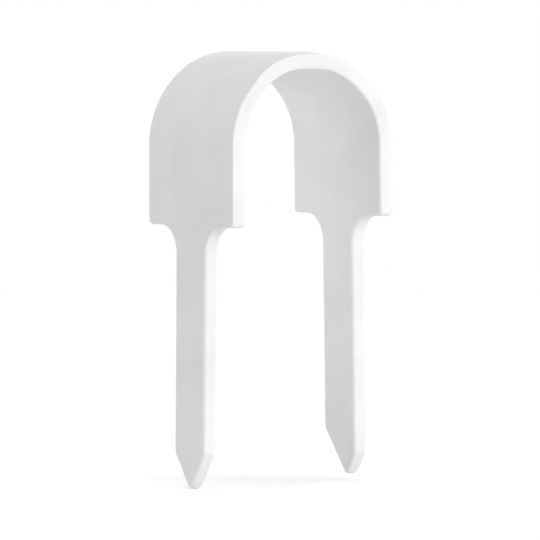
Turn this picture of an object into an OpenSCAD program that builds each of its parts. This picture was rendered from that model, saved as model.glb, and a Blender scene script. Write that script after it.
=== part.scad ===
// Nail-in cable clip: one strip of white-coated sheet steel, stamped to its outline and bent to a U.
// The arch holds a cable, the shoulders stop on the wall, and the two pointed prongs go into it.
// Millimetres. The wall is the plane z = 0, the cable runs along y and the front is at -y.

/* [Cable seat] */
// Inside radius of the arch, half of the cable size that the clip is sold for
cable_r = 6.35; // [3:0.05:20]
// Straight cheek between the arch and the wall, the mean of both sides
cheek_h = 6; // [1.5:0.1:15]
// How far the bend sits off the strip's middle, which makes the left cheek longer
bend_offset = 0.3; // [0:0.05:1]
// Lean of each cheek and prong away from the cable, in degrees
splay = 0.4; // [0:0.05:2]

/* [Strip] */
// Thickness of the coated sheet
sheet_t = 1.2; // [0.7:0.05:2]
// Width of the strap along the cable
strap_w = 12.4; // [10:0.1:25]
// Rounding that the coat gives to every cut edge
edge_r = 0.2; // [0.1:0.05:0.3]

/* [Shoulders] */
// Radius of the outer corners of the shoulders
corner_r = 0.4; // [0.35:0.05:1]
// Radius that blends a shoulder into its prong
blend_r = 2.3; // [0.6:0.1:3.4]

/* [Prongs] */
// Width of a prong
prong_w = 4.2; // [2.5:0.1:6]
// Length of a prong below its shoulders
prong_len = 20.9; // [12:0.1:40]
// Angle of each side of a point to the prong's axis, in degrees
point_angle = 34; // [20:1:45]
// Width of the blunt end of a point
tip_w = 0.4; // [0.2:0.1:1]
// How far the right-hand point is cut off centre, towards the front
point_shift = 0.9; // [0:0.1:1.4]
// Turn of the right-hand point's cut, which lengthens its front side, in degrees
point_tilt = 4; // [0:1:10]

/* [Hidden] */
$fn = 96;

coat = "whitesmoke";
// Each cheek's own length
left_cheek = cheek_h + bend_offset;
right_cheek = cheek_h - bend_offset;
// Height of the arch's centre when the left shoulders, the lower ones, are on the wall
arch_z = left_cheek * cos(splay) - (cable_r + sheet_t / 2) * sin(splay);
// Places across the strip: the centres of a shoulder's outer corner and of its blend
corner_x = strap_w / 2 - corner_r;
blend_x = prong_w / 2 + blend_r;
// The web of the shoulders laps this far onto the flat of the rims and the prong
lap = (corner_r - edge_r) / 2;
// Plates that trim a prong to its point reach past the whole side
trim_size = 3 * (prong_len + prong_w);

// A quarter of a disc, which fills the first quadrant
module quarter_disc(r) {
    intersection() {
        circle(r);
        square(2 * r);
    }
}

// Section of a sheet edge, from inside the sheet to its cut face, where both corners are rounded
module sheet_edge(inside, face) {
    round_x = face - edge_r;
    translate([inside, 0]) square([round_x - inside, sheet_t]);
    translate([round_x, edge_r]) square([edge_r, sheet_t - 2 * edge_r]);
    translate([round_x, sheet_t - edge_r]) quarter_disc(edge_r);
    translate([round_x, edge_r]) mirror([0, 1]) quarter_disc(edge_r);
}

// Section of a strip of the sheet, centred across, with both edges rounded
module strip_section(width) {
    for (side = [0, 1]) mirror([side, 0]) sheet_edge(0, width / 2);
}

// The straight strap of a cheek, from its top down to the shoulders' corners. In a flat side,
// y = 0 is the shoulder line.
module strap(cheek) {
    translate([0, cheek, 0]) rotate([90, 0, 0])
        linear_extrude(cheek - corner_r) strip_section(strap_w);
}

// The flat web of both shoulders, which laps onto the strap, the rims and the prong
module web(cheek) {
    inset = edge_r + lap;
    web_x = strap_w / 2 - inset;
    top = (cheek + corner_r) / 2;
    low = -blend_r - lap;
    linear_extrude(sheet_t) difference() {
        polygon([
            [web_x, top], [web_x, inset], [blend_x, inset], [blend_x, low],
            [-blend_x, low], [-blend_x, inset], [-web_x, inset], [-web_x, top]
        ]);
        for (side = [-1, 1]) translate([side * blend_x, -blend_r]) circle(blend_r + inset);
    }
}

// The rim of one shoulder: round its corner, along its edge and through the blend to the prong
module shoulder_rim() {
    translate([corner_x, corner_r, 0]) rotate(-90)
        rotate_extrude(angle = 90) sheet_edge(0, corner_r);
    translate([corner_x, 0, 0]) rotate([90, 0, -90])
        linear_extrude(corner_x - blend_x) sheet_edge(-corner_r, 0);
    translate([blend_x, -blend_r, 0]) rotate(90)
        rotate_extrude(angle = 90) translate([blend_r, 0]) mirror([1, 0]) sheet_edge(-corner_r, 0);
}

// A plate with one rounded edge through a point, which keeps what lies behind that edge
module trim(at, facing) {
    translate(at) rotate([90, 0, facing])
        linear_extrude(trim_size, center = true) sheet_edge(-trim_size, 0);
}

// A prong with its point, which sits shift off the prong's axis and is turned by tilt
module prong(shift, tilt) {
    intersection() {
        translate([0, -blend_r, 0]) rotate([90, 0, 0])
            linear_extrude(prong_len) strip_section(prong_w);
        trim([shift + tip_w / 2, -prong_len, 0], -point_angle - tilt);
        trim([shift - tip_w / 2, -prong_len, 0], point_angle - tilt - 180);
        trim([shift, -prong_len, 0], -90);
    }
}

// One side of the clip laid flat: a cheek, its two shoulders and its prong
module flat_side(cheek, shift, tilt) {
    strap(cheek);
    web(cheek);
    shoulder_rim();
    mirror([1, 0, 0]) shoulder_rim();
    prong(shift, tilt);
}

// Half of the clip about the arch's centre: a side stood on edge, and a quarter turn of arch,
// which laps onto the other half's at the crown
module half_clip(cheek, shift, tilt) {
    rotate([0, -splay, 0]) {
        translate([cable_r, 0, -cheek]) rotate([90, 0, 90]) flat_side(cheek, shift, tilt);
        rotate([90, 0, 0]) rotate_extrude(angle = 90)
            translate([cable_r, 0]) rotate(-90) strip_section(strap_w);
    }
}

module cable_clip() {
    color(coat) translate([0, 0, arch_z]) {
        half_clip(right_cheek, -point_shift, point_tilt);
        mirror([1, 0, 0]) half_clip(left_cheek, 0, 0);
    }
}

cable_clip();
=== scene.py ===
"""Nail-in cable clip: a steel strip stamped flat, bent over a cable and coated white, on a white floor."""
from math import cos, pi, radians, sin, sqrt, tan

import bmesh
import bpy
from mathutils import Matrix, Vector
from mathutils.kdtree import KDTree


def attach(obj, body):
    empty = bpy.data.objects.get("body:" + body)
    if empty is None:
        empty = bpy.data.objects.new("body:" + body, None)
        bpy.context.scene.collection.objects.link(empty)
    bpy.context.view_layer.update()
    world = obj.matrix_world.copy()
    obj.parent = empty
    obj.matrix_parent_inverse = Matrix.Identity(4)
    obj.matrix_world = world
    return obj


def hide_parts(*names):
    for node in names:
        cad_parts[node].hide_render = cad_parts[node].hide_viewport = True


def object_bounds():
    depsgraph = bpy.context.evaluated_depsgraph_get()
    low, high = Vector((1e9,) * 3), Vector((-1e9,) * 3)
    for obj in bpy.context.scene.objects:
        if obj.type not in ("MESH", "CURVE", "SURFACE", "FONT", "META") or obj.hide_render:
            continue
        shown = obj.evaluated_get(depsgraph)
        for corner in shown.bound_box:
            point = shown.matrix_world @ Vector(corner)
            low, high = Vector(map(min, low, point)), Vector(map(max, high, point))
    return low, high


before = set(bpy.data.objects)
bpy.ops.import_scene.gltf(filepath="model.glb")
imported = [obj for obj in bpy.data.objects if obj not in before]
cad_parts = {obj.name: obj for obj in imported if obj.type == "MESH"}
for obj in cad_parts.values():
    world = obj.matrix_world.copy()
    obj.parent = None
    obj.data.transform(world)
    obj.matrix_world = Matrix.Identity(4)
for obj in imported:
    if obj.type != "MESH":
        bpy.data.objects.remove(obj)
cad_low, cad_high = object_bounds()

# The strip is modelled in millimetres, with the sizes that the part's source has, and scaled at the end
MM = 0.001
CABLE_R = 6.35
CHEEK_H = 6.0
BEND_OFFSET = 0.3
SPLAY = radians(0.4)
SHEET_T = 1.2
STRAP_W = 12.4
CORNER_R = 0.4
BLEND_R = 2.3
PRONG_W = 4.2
PRONG_LEN = 20.9
POINT_ANGLE = radians(34)
TIP_W = 0.4
POINT_SHIFT = 0.9
POINT_TILT = radians(4)

# Along the flat strip, x = 0 is the middle of the bend
BEND_R = CABLE_R + SHEET_T / 2
BEND_ANGLE = pi - 2 * SPLAY
BEND_END = BEND_R * BEND_ANGLE / 2
RIGHT_SHOULDER = BEND_END + CHEEK_H - BEND_OFFSET
LEFT_SHOULDER = -BEND_END - CHEEK_H - BEND_OFFSET
ARCH_Z = (CHEEK_H + BEND_OFFSET) * cos(SPLAY) - BEND_R * sin(SPLAY)

# Places closer than this are taken as one
TOUCH = 0.001
# A new edge is first pulled this far out, clear of all others, so that its corners can be picked out
PULL = 30

# Corners of the flat outline: how far from a point's corners the rounding starts, and each one's steps
KNEE_REACH = 0.2
TIP_REACH = 0.15
BLEND_STEPS = 16
CORNER_STEPS = 6
KNEE_STEPS = 3
TIP_STEPS = 4

# Rounding of the cut edges: first an even one, then drawn to a crisp or a soft one, and to the tips' own
# over the last stretch of a prong
EVEN_EDGE_R = 0.20
EDGE_STEPS = 5
CRISP_EDGE_R = 0.12
SOFT_EDGE_R = 0.30
TIP_EDGE_R = 0.20
TIP_LEN = 0.4

# A drop of the coat rounds each tip through the thickness: how much shorter that leaves the outer and the
# inner face, how far up the point it reaches, and the cuts along the cut edge that give it its form
LEFT_NOSE = (0.40, 0.40)
RIGHT_NOSE = (0.45, 0.08)
NOSE_REACH = 1.5
WALL_CUTS = (-0.2, 0.0, 0.2)

# How far the left prong leans to the back at its tip
LEFT_LEAN = 0.25

# Places where the bending pressed the front edge in: centre along the strip, half length, reach from
# the edge, and depth on the outer and on the inner face
DIPS = (
    (-0.20, 3.0, 1.6, 0.20, 0.20),
    (3.60, 5.2, 1.0, 0.00, 0.15),
    (-6.10, 1.3, 0.7, 0.12, 0.00),
)

# Cuts that let the flat strip bend smoothly: their count in the bend, their pitch elsewhere, how far they
# stay from the outline's arcs, and the stretch at a prong's end that has none
BEND_CUTS = 72
CUT_PITCH = 0.5
CLEAR_OF_ARCS = 0.05
POINT_LEN = 4.6

# White coat: its colour, gloss and the sizes of its marks in millimetres
COAT_COLOUR = (0.86, 0.86, 0.85)
COAT_MOTTLE = 0.025
MOTTLE_SIZE = 5.0
MOTTLE_STOPS = (0.32, 0.68)
SHINE = 0.25
ROUGHNESS = (0.60, 0.72)
ROUGH_SIZE = MOTTLE_SIZE / 3
PEEL_SIZE = 0.55
PEEL_DEPTH = 0.03
WAVE_SIZE = 2.6
WAVE_DEPTH = 0.03

# Camera, fitted to the photograph's edges; its aim is taken from the arch's centre
VIEW_AZIMUTH = radians(33.183)
VIEW_HEIGHT = radians(2.648)
VIEW_ROLL = radians(0.330)
VIEW_DISTANCE = 460.1 * MM
AIM_ACROSS = 0.010 * MM
AIM_DOWN = 9.940 * MM
LENS = 383.7
SENSOR_W = 36
CLIP_NEAR = 0.05
CLIP_FAR = 20

# Lamps: name, place in metres and power in watts; all have one size and face the clip
LAMP_SIZE = (1.0, 0.9)
LAMPS = (
    ("front_right_lamp", (0.85, -1.17, 0.35), 11.9),
    ("front_left_lamp", (-0.45, -1.33, 0.45), 5.0),
    ("top_lamp", (-0.10, -0.10, 1.50), 8.6),
    ("back_lamp", (0.30, 1.42, 0.02), 7.1),
    ("back_right_lamp", (0.95, 1.10, 0.02), 5.4),
    ("back_left_lamp", (-1.30, 0.75, 0.0), 6.6),
)

# Room: the light that it gives, and the strength at which it is seen as white
ROOM_LIGHT = 0.272
ROOM_SEEN = 1.0

# Floor, in metres
FLOOR_R = 0.3
FLOOR_SIDES = 96
FLOOR_COLOUR = (0.86, 0.86, 0.86)
FLOOR_ROUGHNESS = 0.9
FLOOR_GLOW = 0.33


def select(kind, test):
    """Selects the vertices, edges or faces of the edited mesh that pass a test."""
    bpy.ops.mesh.select_mode(type=kind)
    bpy.ops.mesh.select_all(action="DESELECT")
    data = bpy.context.object.data
    mesh = bmesh.from_edit_mesh(data)
    for element in {"VERT": mesh.verts, "EDGE": mesh.edges, "FACE": mesh.faces}[kind]:
        if test(element):
            element.select_set(True)
    mesh.select_flush_mode()
    bmesh.update_edit_mesh(data)


def is_at(vertex, places):
    """Whether a vertex of the flat blank is at one of these places."""
    return any(abs(vertex.co.x - x) < TOUCH and abs(vertex.co.y - y) < TOUCH for x, y in places)


def ease(share):
    """Falls smoothly from 1 at 0 to 0 at 1."""
    return 0.5 + 0.5 * cos(pi * min(abs(share), 1))


def cut_across(axis, places, test=lambda face: True):
    """Cuts the faces that pass a test by planes at these places along an axis."""
    normal = Vector([float(axis == name) for name in "xyz"])
    for place in places:
        select("FACE", test)
        bpy.ops.mesh.bisect(plane_co=normal * place, plane_no=normal)


def draw_out_prong(shoulder, outward, shift, tilt):
    """Extrudes a prong from the middle of a shoulder line, first to its knees and then to its tip.

    Gives back the places of the knees and of the tip's corners.
    """
    half, half_tip = PRONG_W / 2, TIP_W / 2
    front_slope = (half + shift - half_tip) / tan(POINT_ANGLE - tilt)
    back_slope = (half - shift - half_tip) / tan(POINT_ANGLE + tilt)
    tip_x = shoulder + outward * PRONG_LEN
    start = [(shoulder, -half), (shoulder, half)]
    knees = [(tip_x - outward * front_slope, -half), (tip_x - outward * back_slope, half)]
    tips = [(tip_x, shift - half_tip), (tip_x, shift + half_tip)]
    for old, new in ((start, knees), (knees, tips)):
        select("EDGE", lambda e: e.is_boundary and all(is_at(v, old) for v in e.verts))
        bpy.ops.mesh.extrude_region_move(TRANSFORM_OT_translate={"value": (outward * PULL, 0, 0)})
        for (x, y), (new_x, new_y) in zip(old, new):
            pulled_x = x + outward * PULL
            select("VERT", lambda v: is_at(v, [(pulled_x, y)]))
            bpy.ops.transform.translate(value=(new_x - pulled_x, new_y - y, 0))
    return knees, tips


def round_corners(places, reach, steps):
    """Rounds corners of the flat outline; reach is how far from the corner the rounding starts."""
    select("VERT", lambda v: is_at(v, places))
    bpy.ops.mesh.bevel(offset_type="ABSOLUTE", offset=reach, segments=steps, profile=0.5,
                       affect="VERTICES", clamp_overlap=False)


def stamp_blank():
    """The flat blank: a strap, a prong at each end, and its corners rounded."""
    bpy.ops.object.select_all(action="DESELECT")
    bpy.ops.mesh.primitive_plane_add(size=1)
    strip = bpy.context.object
    strip.name = "coated_strip"
    bpy.ops.object.mode_set(mode="EDIT")
    bpy.ops.transform.resize(value=(RIGHT_SHOULDER - LEFT_SHOULDER, STRAP_W, 1))
    bpy.ops.transform.translate(value=((RIGHT_SHOULDER + LEFT_SHOULDER) / 2, 0, -SHEET_T / 2))
    cut_across("y", (-PRONG_W / 2, PRONG_W / 2))
    right_knees, right_tips = draw_out_prong(RIGHT_SHOULDER, 1, -POINT_SHIFT, POINT_TILT)
    left_knees, left_tips = draw_out_prong(LEFT_SHOULDER, -1, 0, 0)
    bpy.ops.mesh.select_mode(type="FACE")
    bpy.ops.mesh.select_all(action="SELECT")
    bpy.ops.mesh.dissolve_faces()
    shoulders = (RIGHT_SHOULDER, LEFT_SHOULDER)
    round_corners([(x, s * PRONG_W / 2) for x in shoulders for s in (-1, 1)], BLEND_R, BLEND_STEPS)
    round_corners([(x, s * STRAP_W / 2) for x in shoulders for s in (-1, 1)], CORNER_R, CORNER_STEPS)
    round_corners(right_knees + left_knees, KNEE_REACH, KNEE_STEPS)
    round_corners(right_tips + left_tips, TIP_REACH, TIP_STEPS)
    return strip


def give_thickness():
    """Extrudes the blank to the sheet's thickness and cuts its upright edge lengthwise."""
    bpy.ops.mesh.select_all(action="SELECT")
    bpy.ops.mesh.extrude_region_move(TRANSFORM_OT_translate={"value": (0, 0, SHEET_T)})
    bpy.ops.mesh.select_all(action="SELECT")
    bpy.ops.mesh.normals_make_consistent(inside=False)
    cut_across("z", WALL_CUTS, lambda f: abs(f.normal.z) < 0.5)


def round_rims():
    """Rounds the cut edges of both faces evenly."""
    select("EDGE", lambda e: all(abs(abs(v.co.z) - SHEET_T / 2) < TOUCH for v in e.verts))
    bpy.ops.mesh.bevel(offset_type="OFFSET", offset=EVEN_EDGE_R, segments=EDGE_STEPS, profile=0.5,
                       affect="EDGES", clamp_overlap=False)


def edge_radius(x, y, face):
    """Radius of the cut edge at a place on the flat strip, on its outer face, 1, or its inner one, -1.

    The front edge is soft on the left prong's outer face and on the right half's inner face.
    """
    below = x - RIGHT_SHOULDER if x > 0 else LEFT_SHOULDER - x
    if below > PRONG_LEN - TIP_LEN:
        return TIP_EDGE_R
    if y > 0 or (face > 0 and x > 0):
        return CRISP_EDGE_R
    soft = (below if face > 0 else x) / BLEND_R
    return CRISP_EDGE_R + (SOFT_EDGE_R - CRISP_EDGE_R) * min(max(soft, 0), 1)


def draw_rims(strip):
    """Draws each ring of the even rounding towards or away from its cut edge, to the edge's own radius."""
    mesh = bmesh.from_edit_mesh(strip.data)
    wall = SHEET_T / 2 - EVEN_EDGE_R
    for face in (1, -1):
        rim = [v for v in mesh.verts if face * v.co.z > wall - TOUCH]
        foot = [v.co.copy() for v in rim if face * v.co.z < wall + TOUCH]
        lookup = KDTree(len(foot))
        for index, place in enumerate(foot):
            lookup.insert((place.x, place.y, 0), index)
        lookup.balance()
        for vertex in rim:
            edge = lookup.find((vertex.co.x, vertex.co.y, 0))[0]
            corner = Vector((edge.x, edge.y, face * SHEET_T / 2))
            vertex.co = corner + (vertex.co - corner) * edge_radius(edge.x, edge.y, face) / EVEN_EDGE_R
    bmesh.update_edit_mesh(strip.data)


def round_noses(strip):
    """Draws the faces back at each tip, so that it is round through its thickness."""
    mesh = bmesh.from_edit_mesh(strip.data)
    for vertex in mesh.verts:
        x, _, z = vertex.co
        side = 1 if x > 0 else -1
        tip = PRONG_LEN + (RIGHT_SHOULDER if x > 0 else -LEFT_SHOULDER)
        outer, inner = RIGHT_NOSE if x > 0 else LEFT_NOSE
        bulge = sqrt(1 - min(abs(z) / (SHEET_T / 2), 1) ** 2)
        drawn_back = (outer if z > 0 else inner) * (1 - bulge)
        vertex.co.x -= side * drawn_back * ease((tip - abs(x)) / NOSE_REACH)
    bmesh.update_edit_mesh(strip.data)


def lean_left_prong(strip):
    """Leans the left prong a little to the back, in the plane of the sheet."""
    mesh = bmesh.from_edit_mesh(strip.data)
    for vertex in mesh.verts:
        vertex.co.y += LEFT_LEAN * max((LEFT_SHOULDER - vertex.co.x) / PRONG_LEN, 0)
    bmesh.update_edit_mesh(strip.data)


def steps_between(start, end):
    """Even places from start to end, both among them, about a cut's pitch apart."""
    count = max(1, round(abs(end - start) / CUT_PITCH))
    return [start + (end - start) * i / count for i in range(count + 1)]


def cut_for_bending():
    """Cuts the strip crosswise where it is plain, closer in the bend, and its strap lengthwise too."""
    cut_across("x", [BEND_END * (2 * i / BEND_CUTS - 1) for i in range(BEND_CUTS + 1)])
    strap_ends = (LEFT_SHOULDER + CORNER_R + CLEAR_OF_ARCS, RIGHT_SHOULDER - CORNER_R - CLEAR_OF_ARCS)
    for side, shoulder, strap_end in zip((-1, 1), (LEFT_SHOULDER, RIGHT_SHOULDER), strap_ends):
        cut_across("x", steps_between(side * BEND_END, strap_end)[1:])
        first = shoulder + side * (BLEND_R + CLEAR_OF_ARCS)
        last = shoulder + side * (PRONG_LEN - POINT_LEN - CLEAR_OF_ARCS)
        cut_across("x", steps_between(first, last))
    cut_across("y", steps_between(-STRAP_W / 2, STRAP_W / 2)[1:-1],
               lambda f: strap_ends[0] < f.calc_center_median().x < strap_ends[1])
    select("FACE", lambda f: len(f.verts) > 4)
    bpy.ops.mesh.quads_convert_to_tris(quad_method="BEAUTY", ngon_method="BEAUTY")


def press_front_edge(strip):
    """Presses the shallow dips into the front edge of the flat strip."""
    bpy.ops.object.mode_set(mode="OBJECT")
    deepest = sum(max(outer, inner) for _, _, _, outer, inner in DIPS)
    pressed = strip.vertex_groups.new(name="pressed")
    for vertex in strip.data.vertices:
        x, y, z = vertex.co
        upper = z / SHEET_T + 0.5
        depth = 0
        for centre, half_length, reach, outer, inner in DIPS:
            share = ease((x - centre) / half_length) * ease((y + STRAP_W / 2) / reach)
            depth += share * (outer * upper + inner * (1 - upper))
        if depth > 0:
            pressed.add([vertex.index], depth / deepest, "REPLACE")
    press = strip.modifiers.new("press", "DISPLACE")
    press.vertex_group = "pressed"
    press.direction = "Z"
    press.mid_level = 0
    press.strength = -deepest
    bpy.ops.object.modifier_apply(modifier="press")
    strip.vertex_groups.clear()


def bend_over_cable(strip):
    """Bends the middle of the strip round the cable, with the cheeks and prongs kept straight."""
    low = min(v.co.x for v in strip.data.vertices)
    high = max(v.co.x for v in strip.data.vertices)
    bpy.ops.object.empty_add(rotation=(radians(-90), 0, 0))
    bench = bpy.context.object
    bpy.ops.object.select_all(action="DESELECT")
    strip.select_set(True)
    bpy.context.view_layer.objects.active = strip
    bend = strip.modifiers.new("bend", "SIMPLE_DEFORM")
    bend.deform_method = "BEND"
    bend.deform_axis = "Z"
    bend.origin = bench
    bend.angle = BEND_ANGLE
    bend.limits = ((-BEND_END - low) / (high - low), (BEND_END - low) / (high - low))
    bpy.ops.object.modifier_apply(modifier="bend")
    bpy.data.objects.remove(bench)


def lay_on_coat(strip):
    """The coat's slight unevenness, which only ever takes away from the true size."""
    waves = bpy.data.textures.new("coat_waves", "CLOUDS")
    waves.noise_scale = WAVE_SIZE
    waves.noise_depth = 1
    coat = strip.modifiers.new("coat", "DISPLACE")
    coat.texture = waves
    coat.texture_coords = "LOCAL"
    coat.mid_level = 1
    coat.strength = WAVE_DEPTH
    bpy.ops.object.modifier_apply(modifier="coat")


def stand_on_wall(strip):
    """Puts the arch in its place over the wall, turns millimetres to metres and evens the shading."""
    strip.location = (0, 0, (ARCH_Z + BEND_R) * MM)
    strip.scale = (MM, MM, MM)
    bpy.ops.object.transform_apply(location=True, rotation=True, scale=True)
    bpy.ops.object.shade_smooth()
    strip.modifiers.new("even_normals", "WEIGHTED_NORMAL")
    bpy.ops.object.modifier_apply(modifier="even_normals")


def noise(nodes, links, spot, size, detail):
    """A cloud pattern whose marks have about this size in millimetres."""
    pattern = nodes.new("ShaderNodeTexNoise")
    pattern.inputs["Scale"].default_value = 1 / (size * MM)
    pattern.inputs["Detail"].default_value = detail
    links.new(spot, pattern.inputs["Vector"])
    return pattern.outputs["Fac"]


def coat_material():
    """Baked white coat: satin, faintly mottled, with a fine orange peel."""
    material = bpy.data.materials.new("white_coat")
    material.use_nodes = True
    nodes, links = material.node_tree.nodes, material.node_tree.links
    shader = nodes["Principled BSDF"]
    shader.inputs["Specular IOR Level"].default_value = SHINE
    spot = nodes.new("ShaderNodeTexCoord").outputs["Object"]

    mottle = nodes.new("ShaderNodeValToRGB")
    for stop, place, change in zip(mottle.color_ramp.elements, MOTTLE_STOPS, (-COAT_MOTTLE, COAT_MOTTLE)):
        stop.position = place
        stop.color = [value + change for value in COAT_COLOUR] + [1]
    links.new(noise(nodes, links, spot, MOTTLE_SIZE, detail=2), mottle.inputs["Fac"])
    links.new(mottle.outputs["Color"], shader.inputs["Base Color"])

    rough = nodes.new("ShaderNodeMapRange")
    rough.inputs["To Min"].default_value, rough.inputs["To Max"].default_value = ROUGHNESS
    links.new(noise(nodes, links, spot, ROUGH_SIZE, detail=3), rough.inputs["Value"])
    links.new(rough.outputs["Result"], shader.inputs["Roughness"])

    peel = nodes.new("ShaderNodeBump")
    peel.inputs["Strength"].default_value = 1
    peel.inputs["Distance"].default_value = PEEL_DEPTH * MM
    links.new(noise(nodes, links, spot, PEEL_SIZE, detail=1), peel.inputs["Height"])
    links.new(peel.outputs["Normal"], shader.inputs["Normal"])
    return material


def make_strip():
    """The clip's one piece, from the flat blank to the bent and coated strip."""
    strip = stamp_blank()
    give_thickness()
    round_rims()
    draw_rims(strip)
    round_noses(strip)
    lean_left_prong(strip)
    cut_for_bending()
    press_front_edge(strip)
    bend_over_cable(strip)
    lay_on_coat(strip)
    stand_on_wall(strip)
    strip.data.materials.append(coat_material())
    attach(strip, "root")
    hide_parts("cable_clip")


def add_camera():
    """The camera, at the photograph's viewing angle."""
    azimuth, height, roll = VIEW_AZIMUTH, VIEW_HEIGHT, VIEW_ROLL
    level = Vector((cos(azimuth), -sin(azimuth), 0))
    back = Vector((-sin(azimuth) * cos(height), -cos(azimuth) * cos(height), sin(height)))
    rise = Vector((sin(azimuth) * sin(height), cos(azimuth) * sin(height), cos(height)))
    across = level * cos(roll) - rise * sin(roll)
    up = level * sin(roll) + rise * cos(roll)
    data = bpy.data.cameras.new("camera")
    data.lens = LENS
    data.sensor_width = SENSOR_W
    data.clip_start = CLIP_NEAR
    data.clip_end = CLIP_FAR
    camera = bpy.data.objects.new("camera", data)
    bpy.context.scene.collection.objects.link(camera)
    centre = Vector((0, 0, ARCH_Z * MM))
    place = centre + across * AIM_ACROSS - up * AIM_DOWN + back * VIEW_DISTANCE
    turn = Matrix((across, up, back)).transposed()
    camera.matrix_world = Matrix.Translation(place) @ turn.to_4x4()
    bpy.context.scene.camera = camera


def add_lamp(name, place, power):
    """A soft lamp that faces the clip."""
    data = bpy.data.lights.new(name, "AREA")
    data.shape = "RECTANGLE"
    data.size, data.size_y = LAMP_SIZE
    data.energy = power
    lamp = bpy.data.objects.new(name, data)
    bpy.context.scene.collection.objects.link(lamp)
    lamp.location = place
    lamp.rotation_mode = "QUATERNION"
    lamp.rotation_quaternion = (-Vector(place)).to_track_quat("-Z", "Y")


def seen_directly(nodes, links):
    """1 for rays that see a surface or the room directly, in gloss or through glass, and 0 for others."""
    path = nodes.new("ShaderNodeLightPath")
    total = path.outputs["Is Camera Ray"]
    for name in ("Is Glossy Ray", "Is Transmission Ray"):
        larger = nodes.new("ShaderNodeMath")
        larger.operation = "MAXIMUM"
        links.new(total, larger.inputs[0])
        links.new(path.outputs[name], larger.inputs[1])
        total = larger.outputs[0]
    return total


def add_room():
    """An evenly lit room, seen as plain white."""
    world = bpy.data.worlds.new("studio")
    bpy.context.scene.world = world
    world.use_nodes = True
    nodes, links = world.node_tree.nodes, world.node_tree.links
    nodes.clear()
    out = nodes.new("ShaderNodeOutputWorld")
    mix = nodes.new("ShaderNodeMixShader")
    for place, strength in ((1, ROOM_LIGHT), (2, ROOM_SEEN)):
        light = nodes.new("ShaderNodeBackground")
        light.inputs["Color"].default_value = (1, 1, 1, 1)
        light.inputs["Strength"].default_value = strength
        links.new(light.outputs[0], mix.inputs[place])
    links.new(seen_directly(nodes, links), mix.inputs["Fac"])
    links.new(mix.outputs[0], out.inputs["Surface"])


def floor_material():
    """Matt white, a little brighter to the eye so that only the shadow shows."""
    material = bpy.data.materials.new("floor_white")
    material.use_nodes = True
    nodes, links = material.node_tree.nodes, material.node_tree.links
    shader = nodes["Principled BSDF"]
    shader.inputs["Base Color"].default_value = (*FLOOR_COLOUR, 1)
    shader.inputs["Roughness"].default_value = FLOOR_ROUGHNESS
    shader.inputs["Specular IOR Level"].default_value = 0
    glow = nodes.new("ShaderNodeMath")
    glow.operation = "MULTIPLY"
    glow.inputs[1].default_value = FLOOR_GLOW
    links.new(seen_directly(nodes, links), glow.inputs[0])
    shader.inputs["Emission Color"].default_value = (1, 1, 1, 1)
    links.new(glow.outputs[0], shader.inputs["Emission Strength"])
    return material


def add_floor():
    """A round white floor at the height of the tips."""
    bpy.ops.object.select_all(action="DESELECT")
    bpy.ops.mesh.primitive_circle_add(vertices=FLOOR_SIDES, radius=FLOOR_R, fill_type="NGON",
                                      location=(0, 0, cad_low.z))
    floor = bpy.context.object
    floor.name = "floor"
    floor.data.materials.append(floor_material())


bpy.context.scene.view_settings.view_transform = "Standard"
add_camera()
make_strip()
add_room()
for lamp in LAMPS:
    add_lamp(*lamp)
add_floor()
